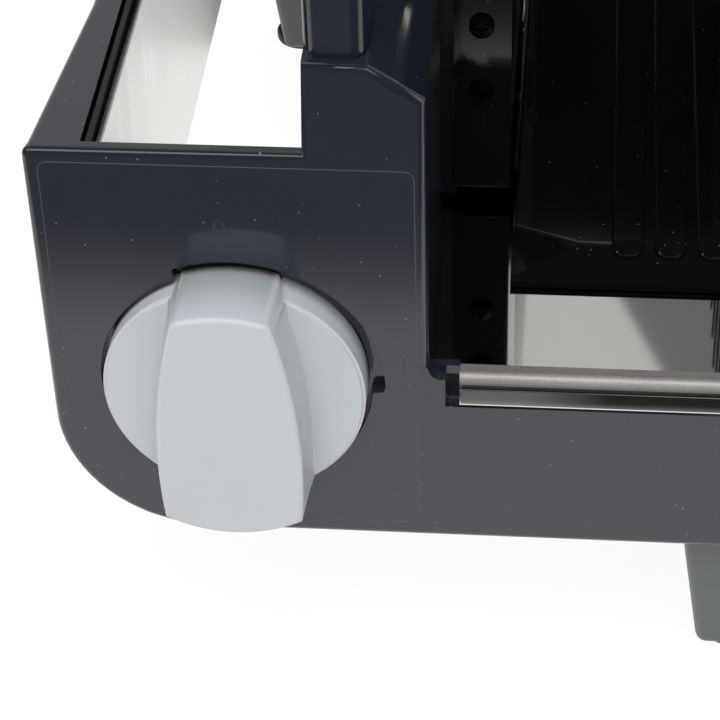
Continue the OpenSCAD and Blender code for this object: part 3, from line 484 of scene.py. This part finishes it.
# Strip under the rail: polished stainless steel on the front of the beam. Its face leans back, and its
# rounded edges catch the light.
STRIP_LEAN = 0.6
STRIP_EDGE_R = 0.25
STRIP_FOOT_R = 0.8
STRIP_FOOT_H = 2.0
STRIP_HEEL = 1.0
polished = steel("polished_steel", screen(205, 204, 201), rough=0.04, streak=(1, 0.02, 1), depth=0.001,
                 uneven=0.015)
strip = solid_of("rail_strip")
strip_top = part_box("rail_strip")[1].z
for v in strip.verts:
    if mm(v)[1] < TOL and v.co.z > strip_top - TOL / 1000:
        v.co.y += STRIP_LEAN / 1000
    elif v.co.z < strip_top - STRIP_HEEL / 1000:
        v.co.z -= NOTCH_DROP / 1000
strip_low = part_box("rail_strip")[0].z * 1000 - NOTCH_DROP
foot_edges = sharp_edges(strip, both_ends(lambda p: p[1] < TOL and p[2] < strip_low + TOL))
bevel(strip, foot_edges, STRIP_FOOT_R, segments=4)
strip_edges = sharp_edges(strip, lambda a, b: max(a[1], b[1]) < STRIP_LEAN + TOL
                          and max(a[2], b[2]) > strip_low + STRIP_FOOT_H)
bevel(strip, strip_edges, STRIP_EDGE_R)
finish_piece("strip", strip, polished, "body", "polished_steel", "rail_strip")

# Rail groove: a thin strip in the dark rubber finish, laid in the groove between the rail and the strip as
# painted shade for the groove's shadow. It ends just short of the rail.
GROOVE_FACE = 1.0
SHADE_STRIP_SHORT = 0.4
SHADE_STRIP_T = 0.3
SHADE_STRIP_LOW = 0.05
SHADE_STRIP_TOP = 1.1


def box_between(low, high):
    """A block between two corners."""
    bm = bmesh.new()
    middle, size = (low + high) / 2, high - low
    bmesh.ops.create_cube(bm, size=1.0, matrix=Matrix.Translation(middle) @ Matrix.Diagonal((*size, 1.0)))
    return bm


rail_low, rail_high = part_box("front_rail")
groove = at(0, GROOVE_FACE, 0).y
# Painted shade: a dark strip that stands for the shadow in the groove.
groove_shade_strip = box_between(
    Vector((rail_low.x, groove, strip_top)) + Vector((SHADE_STRIP_SHORT, 0, SHADE_STRIP_LOW)) / 1000,
    Vector((rail_high.x, groove, strip_top)) + Vector((-SHADE_STRIP_SHORT, SHADE_STRIP_T, SHADE_STRIP_TOP)) / 1000)
rubber = moulded("rubber", screen(24, 23, 23), rough=0.6)
finish_piece("rail_groove_shade", groove_shade_strip, rubber, "body", "rubber")

# Window sill: a low block at the foot of the post, which closes the gap to the rail's left end. It is
# moulded in one with the frame. Its corners are measured from the corner of the window.
SILL_FROM = (-0.2, -1.4, -1.0)
SILL_TO = (6.9, 0.8, 1.3)
window_corner = at(PANEL_W, NOTCH_D, BEAM_TOP)
sill = box_between(window_corner + Vector(SILL_FROM) / 1000, window_corner + Vector(SILL_TO) / 1000)
finish_piece("window_sill", sill, frame_plastic, "body", "frame_plastic")

# Rail screw: small pan head of plain steel with a cross recess, on the floor of the notch at the strip's
# left end. The head's profile and recess are shares of its radius and height.
RAIL_SCREW_X = 0.9
RAIL_SCREW_Y = 2.2
RAIL_SCREW_R = 0.6
RAIL_SCREW_H = 0.5
HEAD_SIDES = 24
DOME = ((1.0, 0.0), (1.0, 0.45), (0.9, 0.8), (0.66, 1.0))
CROSS_ARM = 0.13
CROSS_REACH = 0.52
CROSS_FLOOR = 0.4


def pan_screw(bm, seat, out, radius, height):
    """Adds a domed screw head with a cross recess, standing on seat and facing out; metres."""
    place = Matrix.Translation(seat) @ out.to_track_quat("Z", "Y").to_matrix().to_4x4()
    arm, reach = radius * CROSS_ARM, radius * CROSS_REACH

    def ring(points, z):
        return [bm.verts.new(place @ Vector((x, y, z))) for x, y in points]

    def band(low, high):
        for i in range(len(low)):
            bm.faces.new((low[i - 1], low[i], high[i], high[i - 1]))

    turns = [math.radians(360 * i / HEAD_SIDES) for i in range(HEAD_SIDES)]
    rims = [ring([(radius * r * math.cos(t), radius * r * math.sin(t)) for t in turns], height * z)
            for r, z in DOME]
    for low, high in zip(rims, rims[1:]):
        band(low, high)
    bm.faces.new(rims[0][::-1])
    cross = [(x * c - y * s, x * s + y * c) for c, s in ((1, 0), (0, 1), (-1, 0), (0, -1))
             for x, y in ((reach, -arm), (reach, arm), (arm, arm))]
    lip, pit = ring(cross, height), ring(cross, height * CROSS_FLOOR)
    band(pit, lip)
    bm.faces.new(pit)
    loops = [bm.edges.get((loop[i - 1], loop[i])) for loop in (rims[-1], lip) for i in range(len(loop))]
    bmesh.ops.triangle_fill(bm, use_beauty=True, use_dissolve=False, edges=loops)
    bmesh.ops.recalc_face_normals(bm, faces=bm.faces)


plain_steel = steel("plain_steel", screen(180, 180, 180), rough=0.3, depth=0.03)
rail_screw = bmesh.new()
notch_floor = at(NOTCH_X + RAIL_SCREW_X, RAIL_SCREW_Y, NOTCH_Z - NOTCH_DROP)
pan_screw(rail_screw, notch_floor, Vector((0, 0, 1)), RAIL_SCREW_R / 1000, RAIL_SCREW_H / 1000)
finish_piece("rail_screw_head", rail_screw, plain_steel, "body", "plain_steel", "rail_screw")

# Table: polished stainless sheet with softly turned edges and a lip that rolls over behind the bead,
# a mirror for what stands on it.
TOP_FROM = 0.5
TABLE_EDGE_R = 0.5
TABLE_CORNER_R = 2.0
TABLE_LIP = 1.5
LIP_STEP = 0.2
LIP_EDGE_R = 1.1
table = solid_of("table_plate")
table_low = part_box("table_plate")[0]
corner_edges = sharp_edges(table, lambda a, b: abs(a[2] - b[2]) > TOP_FROM)
bevel(table, corner_edges, TABLE_CORNER_R, segments=5, clamp=True)
lip_left = (rail_low.x - front_corner.x) * 1000
lip_front = (table_low.y - front_corner.y) * 1000
for x in (lip_left - LIP_STEP, lip_left):
    bmesh.ops.bisect_plane(table, geom=table.verts[:] + table.edges[:] + table.faces[:], dist=1e-7,
                           plane_co=at(x, 0, 0), plane_no=(1, 0, 0))
for v in table.verts:
    if mm(v)[0] > lip_left - FINE_TOL and mm(v)[1] < lip_front + FINE_TOL:
        v.co.y -= TABLE_LIP / 1000
on_top = both_ends(lambda p: p[2] > table_low.z * 1000 + TOP_FROM)
lip_edges = [e for e in sharp_edges(table, on_top) if max(mm(v)[1] for v in e.verts) < lip_front - 1]
bevel(table, lip_edges, LIP_EDGE_R, segments=6)
bevel(table, sharp_edges(table, on_top), TABLE_EDGE_R, segments=4, clamp=True)
finish_piece("table_sheet", table, polished, "body", "polished_steel", "table_plate")

# Stop plate: black gloss moulding that stands edge on to the front. Two screws hold it to the slide,
# which runs on the rods behind the panel.
STOP_EDGE_R = 0.9
STOP_FACE_EDGE_R = 0.35
STOP_FOOT_H = 2.0
stop_low, stop_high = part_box("stop_plate")
black_gloss = moulded("black_gloss", screen(6, 6, 7), rough=0.06, dust=0.25)
stop = solid_of("stop_plate")
stop_left = (stop_low.x - front_corner.x) * 1000
stop_face = (stop_high.x - front_corner.x) * 1000
stop_foot = stop_low.z * 1000 + STOP_FOOT_H
left_edges = sharp_edges(stop, lambda a, b: max(a[0], b[0]) < stop_left + FINE_TOL
                         and max(a[2], b[2]) > stop_foot, convex=True)
bevel(stop, left_edges, STOP_EDGE_R, segments=4, clamp=True)
face_edges = sharp_edges(stop, lambda a, b: min(a[0], b[0]) > stop_face - FINE_TOL
                         and max(a[2], b[2]) > stop_foot, convex=True)
bevel(stop, face_edges, STOP_FACE_EDGE_R, clamp=True)
finish_piece("stop_panel", stop, black_gloss, "stop", "black_gloss", "stop_plate")
black_plastic = moulded("black_plastic", screen(17, 17, 18), rough=0.28)
dress("stop_slide", black_plastic, width=0.3)
screws_low, screws_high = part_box("stop_screws")
head_r = (screws_high.x - screws_low.x) / 2
black_screw = steel("black_screw", screen(38, 38, 40), rough=0.35)
screws = bmesh.new()
for z in (screws_low.z + head_r, screws_high.z - head_r):
    seat = Vector((screws_low.x + head_r, stop_low.y, z))
    pan_screw(screws, seat, Vector((0, -1, 0)), head_r, stop_low.y - screws_low.y)
finish_piece("stop_screw_heads", screws, black_screw, "stop", "plain_steel", "stop_screws")

# Food carriage: black gloss tray with a flat apron, a ramp along its front edge, and ribs that roll
# over onto the ramp. The soft turn from apron to ramp shows as a light line.
APRON_TURN = 2.2
RIB_EDGE_R = 0.7
RIB_H = 1.0
RIB_FOOT = 3.0
RAMP_Y = 42.8
APRON_END = 128.0
APRON_BEND = 8.0
tray = solid_of("carriage_tray")
tray_low, tray_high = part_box("carriage_tray")
rib_top = tray_high.z * 1000


def on_turn(p):
    """On the line where the apron turns down to the ramp."""
    x, y, z = p
    before_bend = x < APRON_END - APRON_BEND
    return abs(z - rib_top + RIB_H) < FINE_TOL and x < APRON_END and (before_bend or y < RAMP_Y + 2 * TOL)


def on_rib(p):
    """Among the ribs, above the tray's edge."""
    x, _, z = p
    return z > tray_low.z * 1000 + RIB_FOOT and x > APRON_END - 1


apron_turn = sharp_edges(tray, both_ends(on_turn), convex=True, angle=12)
bevel(tray, apron_turn, APRON_TURN, segments=6, clamp=True)
rib_edges = sharp_edges(tray, both_ends(on_rib), convex=True, angle=40)
bevel(tray, rib_edges, RIB_EDGE_R, clamp=True)
finish_piece("tray", tray, black_gloss, "carriage", "black_gloss", "carriage_tray", sharp=13)
dress("carriage_wall", black_gloss, width=0.9, segments=3)
dress("carriage_runner", black_plastic, width=0.5)
dress("carriage_bar", plain_steel, width=0.4)

# Food pusher: black plate with ribs towards the blade, a hook over the wall and a round handle. It is
# one moulding, and slides along the carriage wall.
dress("food_pusher", black_plastic, width=0.8, segments=3)

# Carry handle: an arch with well rounded edges, from the post back to the housing, in the gloss plastic
# of the frame.
HANDLE_EDGE_R = 4.0
handle = solid_of("carry_handle")
handle_edges = sharp_edges(handle, lambda a, b: abs(a[0] - b[0]) < FINE_TOL, convex=True)
bevel(handle, handle_edges, HANDLE_EDGE_R, segments=6, clamp=True)
finish_piece("handle", handle, frame_plastic, "body", "frame_plastic", "carry_handle")

# Motor housing with the blade's hood, and its vented cover, which four screws hold. Both are mouldings
# in the gloss plastic of the frame.
COVER_EDGE_R = 2.0
COVER_SCREW_R = 3.0
OUTLINE_REACH = 7.0
SHELL_EDGE_R = 1.0
SHELL_ANGLE = 35
BIG_FACE = 60.0  # square millimetres
face_low, face_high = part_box("motor_cover")


def soft_shell(name, node):
    """A moulding with rounded edges where two big faces meet, while its small holes stay crisp."""
    bm = solid_of(node)
    edges = [e for e in sharp_edges(bm, convex=True, angle=SHELL_ANGLE)
             if min(f.calc_area() for f in e.link_faces) > BIG_FACE / 1e6]
    bevel(bm, edges, SHELL_EDGE_R)
    finish_piece(name, bm, frame_plastic, "body", "frame_plastic", node)


def on_cover_outline(p):
    """On the outline of the cover's outer face, away from its vents and screws."""
    place = at(*p)
    inward = min(place.y - face_low.y, face_high.y - place.y, place.z - face_low.z, face_high.z - place.z)
    return place.x < face_low.x + TOL / 1000 and inward < OUTLINE_REACH / 1000


soft_shell("housing", "motor_housing")
cover = solid_of("motor_cover")
bevel(cover, sharp_edges(cover, both_ends(on_cover_outline), convex=True), COVER_EDGE_R, segments=5)
finish_piece("vented_cover", cover, frame_plastic, "body", "frame_plastic", "motor_cover")
cover_low, cover_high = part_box("cover_screws")
cover_x = face_low.x
head_r = COVER_SCREW_R / 1000
heads = bmesh.new()
for y in (cover_low.y + head_r, cover_high.y - head_r):
    for z in (cover_low.z + head_r, cover_high.z - head_r):
        pan_screw(heads, Vector((cover_x, y, z)), Vector((-1, 0, 0)), head_r, cover_x - cover_low.x)
finish_piece("cover_screw_heads", heads, plain_steel, "body", "plain_steel", "cover_screws")

# Blade: stainless disc ground in rings, with its lock in the middle. A nylon gear turns it on a steel
# axle.
BLADE_BARE = 0.7
blade_low, blade_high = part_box("blade")
blade_middle = (blade_low + blade_high) / 2


def ring_ground(name, colour, rough, centre):
    """Steel turned on a lathe: fine rings about an axis along X through the centre."""
    made, tree, shader, place = new_finish(name)
    offset = add(tree, "VectorMath", {0: place, 1: centre}, operation="SUBTRACT").outputs["Vector"]
    flat = add(tree, "VectorMath", {0: offset, 1: (0.0, 1.0, 1.0)}, operation="MULTIPLY").outputs["Vector"]
    radius = add(tree, "VectorMath", {0: flat}, operation="LENGTH").outputs["Value"]
    turned = add(tree, "TexNoise", {"W": radius, "Scale": 2600.0, "Detail": 3.0}, noise_dimensions="1D")
    rings = turned.outputs["Fac"]
    tint = ramp(tree, rings, NOISE_RANGE, (0.84, 1.12))
    base = add(tree, "VectorMath", {0: colour[:3], "Scale": tint}, operation="SCALE").outputs["Vector"]
    tree.links.new(base, shader.inputs["Base Color"])
    gloss = ramp(tree, rings, NOISE_RANGE, (rough * 0.7, rough * 1.4))
    tree.links.new(gloss, shader.inputs["Roughness"])
    bump = add(tree, "Bump", {"Height": rings, "Strength": 0.06, "Distance": 0.0001}).outputs["Normal"]
    tree.links.new(bump, shader.inputs["Normal"])
    shader.inputs["Metallic"].default_value = BLADE_BARE
    return made


dress("blade", ring_ground("blade_steel", screen(168, 169, 171), 0.12, blade_middle))
dress("blade_lock", black_plastic, width=0.5)
nylon = moulded("nylon", screen(225, 222, 212), rough=0.4)
dress("blade_gear", nylon)
dress("blade_axle", plain_steel)

# Table chassis with the rear beam, in the gloss plastic of the frame, and the satin plastic legs under it
# with their rubber pads. The legs' light grey plastic is darkened with painted shade, to the tone it has in
# the shadow under the beam.
# Painted shade: the legs' light plastic is given a darker grey for the shadow under the beam.
leg_grey = moulded("leg_grey", screen(88, 92, 90), rough=0.4)
soft_shell("chassis", "table_chassis")
for leg in ("front_foot", "left_foot", "rear_feet"):
    dress(leg, leg_grey, width=2.5, segments=4)
dress("foot_pads", rubber, width=0.6)

# Power button in the knob's plastic, with the switch behind it in the beam, and the rubber bush of the
# inlet at the back.
dress("power_button", knob_grey, width=0.9, segments=3)
dress("switch_body", black_plastic, width=0.4)
dress("cord_inlet", rubber, width=0.3)

# Drive of the stop plate behind the panel: a steel bracket with two rods, a bronze bush for the knob's
# shaft, a nylon pinion, and a black cover over them.
dress("mechanism_cover", black_plastic, width=0.5)
bronze = steel("bronze", screen(184, 153, 90), rough=0.35)
for node in ("drive_bracket", "guide_rods", "bracket_screws", "knob_shaft", "knob_clip"):
    dress(node, plain_steel, width=0.2)
dress("shaft_bush", bronze)
dress("knob_pinion", nylon)

# Motor in its lacquered can, with its shaft, steel pinion and fan. It is fixed to the gear plate inside
# the housing.
motor_metal = steel("motor_metal", screen(115, 118, 122), rough=0.4)
dress("motor", motor_metal, width=0.8)
dress("gear_plate", plain_steel, width=0.3)
dress("motor_shaft", plain_steel)
dress("motor_pinion", plain_steel)
dress("cooling_fan", black_plastic)

# Floor: white, and to glossy surfaces dim away from the machine, most of all to the right, as a
# small white table in a dark room is. Its places are in metres.
NEAR_EDGE = -0.276
FAR_EDGE = -0.331
NEAR_LEVEL = 1.25
DIM_LEVEL = 0.19
DIM_LEFT = -0.02
DIM_RIGHT = 0.005
DIM_RIGHT_SHARE = 0.15
SEEN_LEVEL = 1.05
SEEN_SHARE = 0.9
FLOOR_HALF = 4.0
FLOOR_COLOUR = (0.85, 0.85, 0.85, 1)
floor_mesh = bpy.data.meshes.new("floor")
plane = bmesh.new()
bmesh.ops.create_grid(plane, x_segments=1, y_segments=1, size=FLOOR_HALF)
plane.to_mesh(floor_mesh)
plane.free()
floor = bpy.data.objects.new("floor", floor_mesh)
bpy.context.scene.collection.objects.link(floor)
white = bpy.data.materials.new("white_floor")
white.use_nodes = True
tree = white.node_tree
tree.nodes.clear()
place = add(tree, "TexCoord").outputs["Object"]
spot = add(tree, "SeparateXYZ", {0: place}).outputs
dim = ramp(tree, spot["X"], (DIM_LEFT, DIM_RIGHT), (DIM_LEVEL, DIM_LEVEL * DIM_RIGHT_SHARE))
near = ramp(tree, spot["Y"], (FAR_EDGE, NEAR_EDGE), (dim, NEAR_LEVEL), interpolation_type="SMOOTHSTEP")


def seen_rays(tree):
    """Whether a ray comes from the camera, and whether it comes from a glossy surface."""
    path = add(tree, "LightPath").outputs
    direct = {0: path["Is Camera Ray"], 1: path["Is Transmission Ray"]}
    return add(tree, "Math", direct, operation="MAXIMUM").outputs[0], path["Is Glossy Ray"]


seen, glossy = seen_rays(tree)
bright = add(tree, "Mix", {0: seen, 2: near, 3: SEEN_LEVEL}, data_type="FLOAT").outputs[0]
share = add(tree, "Math", {0: seen, 1: SEEN_SHARE}, operation="MULTIPLY").outputs[0]
share = add(tree, "Math", {0: share, 1: glossy}, operation="MAXIMUM").outputs[0]
glow = add(tree, "Emission", {"Color": (1, 1, 1, 1), "Strength": bright}).outputs[0]
matt = add(tree, "BsdfDiffuse", {"Color": FLOOR_COLOUR}).outputs[0]
mixed = add(tree, "MixShader", {0: share, 1: matt, 2: glow}).outputs[0]
add(tree, "OutputMaterial", {"Surface": mixed})
floor_mesh.materials.append(white)
floor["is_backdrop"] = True

# World: white to the camera, an even glow on matt surfaces, and to glossy ones a bright wall behind
# the machine and a dark room in front of it.
AMBIENT = 0.75
WALL_LEVEL = 0.7
ROOM_LEVEL = 0.05
WALL_START = (0.1, 0.5)
world = bpy.data.worlds.new("studio")
bpy.context.scene.world = world
world.use_nodes = True
tree = world.node_tree
tree.nodes.clear()
ahead = add(tree, "SeparateXYZ", {0: add(tree, "TexCoord").outputs["Generated"]}).outputs["Y"]
mirrored = ramp(tree, ahead, WALL_START, (ROOM_LEVEL, WALL_LEVEL))
seen, glossy = seen_rays(tree)
power = add(tree, "Mix", {0: glossy, 2: AMBIENT, 3: mirrored}, data_type="FLOAT").outputs[0]
power = add(tree, "Mix", {0: seen, 2: power, 3: 1.0}, data_type="FLOAT").outputs[0]
sky = add(tree, "Background", {"Color": (1, 1, 1, 1), "Strength": power}).outputs[0]
add(tree, "OutputWorld", {"Surface": sky})

# Dark and grey cards behind the machine, which keep its black parts black and shade the table, and a
# glow in front and above, which draws a line of light along the rounded edges and dips over the post.
CARD_Y = 1150.0
CARD_LEFT = -160.0
CARD_RIGHT = 1000.0
CARD_TOP = 930.0
GREY_TOP = 1260.0
DARK_OUTLINE = ((CARD_LEFT, 0), (CARD_RIGHT, 0), (CARD_RIGHT, CARD_TOP), (CARD_LEFT, CARD_TOP))
GREY_OUTLINE = ((138, CARD_TOP), (CARD_RIGHT, CARD_TOP), (CARD_RIGHT, GREY_TOP), (300, GREY_TOP))
GREY_LEVEL = 0.2
GLOW_LOW = (-900, 1060)
GLOW_HIGH = (-450, 1350)
GLOW_LEFT = -900
GLOW_DIP = 100
GLOW_RIGHT = 1100
LEFT_FADE = (-260, 0)
RIGHT_FADE = (GLOW_DIP, 500)
GLOW_LEVEL = 2.6
DIP_LEVEL = 0.25
RIGHT_LEVEL = 1.6


def reflected_card(name, corners, level, fade=None):
    """A card that only glossy surfaces see. A fade holds its two places across and the level it ends at."""
    bm = bmesh.new()
    bm.faces.new([bm.verts.new(at(*p)) for p in corners])
    mesh = bpy.data.meshes.new(name)
    bm.to_mesh(mesh)
    bm.free()
    made = bpy.data.materials.new(name)
    made.use_nodes = True
    made.node_tree.nodes.clear()
    tree = made.node_tree
    if fade:
        left, right, last = fade
        across = add(tree, "SeparateXYZ", {0: add(tree, "TexCoord").outputs["Object"]}).outputs["X"]
        level = ramp(tree, across, (at(left, 0, 0).x, at(right, 0, 0).x), (level, last))
    glow = add(tree, "Emission", {"Color": (1, 1, 1, 1), "Strength": level}).outputs[0]
    add(tree, "OutputMaterial", {"Surface": glow})
    mesh.materials.append(made)
    card = bpy.data.objects.new(name, mesh)
    bpy.context.scene.collection.objects.link(card)
    card.visible_camera = False
    card.visible_diffuse = False
    card.visible_shadow = False
    card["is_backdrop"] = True


def glow_corners(left, right):
    """The corners of a glow between two places across."""
    return (left, *GLOW_LOW), (right, *GLOW_LOW), (right, *GLOW_HIGH), (left, *GLOW_HIGH)


reflected_card("dark_card", [(x, CARD_Y, z) for x, z in DARK_OUTLINE], 0.0)
reflected_card("grey_card", [(x, CARD_Y, z) for x, z in GREY_OUTLINE], GREY_LEVEL)
reflected_card("front_glow", glow_corners(GLOW_LEFT, GLOW_DIP), GLOW_LEVEL, fade=(*LEFT_FADE, DIP_LEVEL))
reflected_card("right_glow", glow_corners(GLOW_DIP, GLOW_RIGHT), DIP_LEVEL, fade=(*RIGHT_FADE, RIGHT_LEVEL))

# Lamps: a broad one in front, a cool one above, and a weak one behind. Their places and sizes are in
# metres.
KNOB_AIM = (-0.08, -0.15, 0.1)


def softbox(name, place, aim, size, watts, colour=(1, 1, 1)):
    """A soft rectangular lamp that mirrors don't show."""
    lamp = bpy.data.lights.new(name, "AREA")
    lamp.shape = "RECTANGLE"
    lamp.size, lamp.size_y = size
    lamp.energy = watts
    lamp.color = colour
    obj = bpy.data.objects.new(name, lamp)
    obj.location = place
    obj.rotation_mode = "QUATERNION"
    obj.rotation_quaternion = (Vector(aim) - Vector(place)).to_track_quat("-Z", "Y")
    obj.visible_glossy = False
    bpy.context.scene.collection.objects.link(obj)


softbox("key", (-0.1, -0.8, 1.3), KNOB_AIM, size=(0.8, 0.6), watts=11)
softbox("top", (-0.05, -0.4, 1.5), KNOB_AIM, size=(0.6, 0.4), watts=4, colour=(0.8, 0.92, 1.0))
softbox("back", (0.6, 0.9, 0.9), (0, 0, 0.15), size=(0.6, 0.6), watts=3)

# Camera at the photograph's angle, which was fitted to the panel's straight edges and to the circle
# of the knob's recess.
CAMERA_AT = (120.4, -452.1, 466.4)
SENSOR_W = 36
FOCAL = 130
YAW, PITCH, ROLL = math.radians(-6.163), math.radians(39.098), math.radians(-1.896)
ahead = Vector((math.sin(YAW) * math.cos(PITCH), math.cos(YAW) * math.cos(PITCH), -math.sin(PITCH)))
right = Vector((math.cos(YAW), -math.sin(YAW), 0))
up = right.cross(ahead)
turned = right * math.cos(ROLL) + up * math.sin(ROLL)
upright = up * math.cos(ROLL) - right * math.sin(ROLL)
lens = bpy.data.cameras.new("camera")
lens.sensor_width = SENSOR_W
lens.lens = FOCAL
camera = bpy.data.objects.new("camera", lens)
axes = Matrix((turned, upright, -ahead)).transposed().to_4x4()
camera.matrix_world = Matrix.Translation(at(*CAMERA_AT)) @ axes
bpy.context.scene.collection.objects.link(camera)
bpy.context.scene.camera = camera
bpy.context.scene.view_settings.view_transform = "Standard"

low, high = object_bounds()
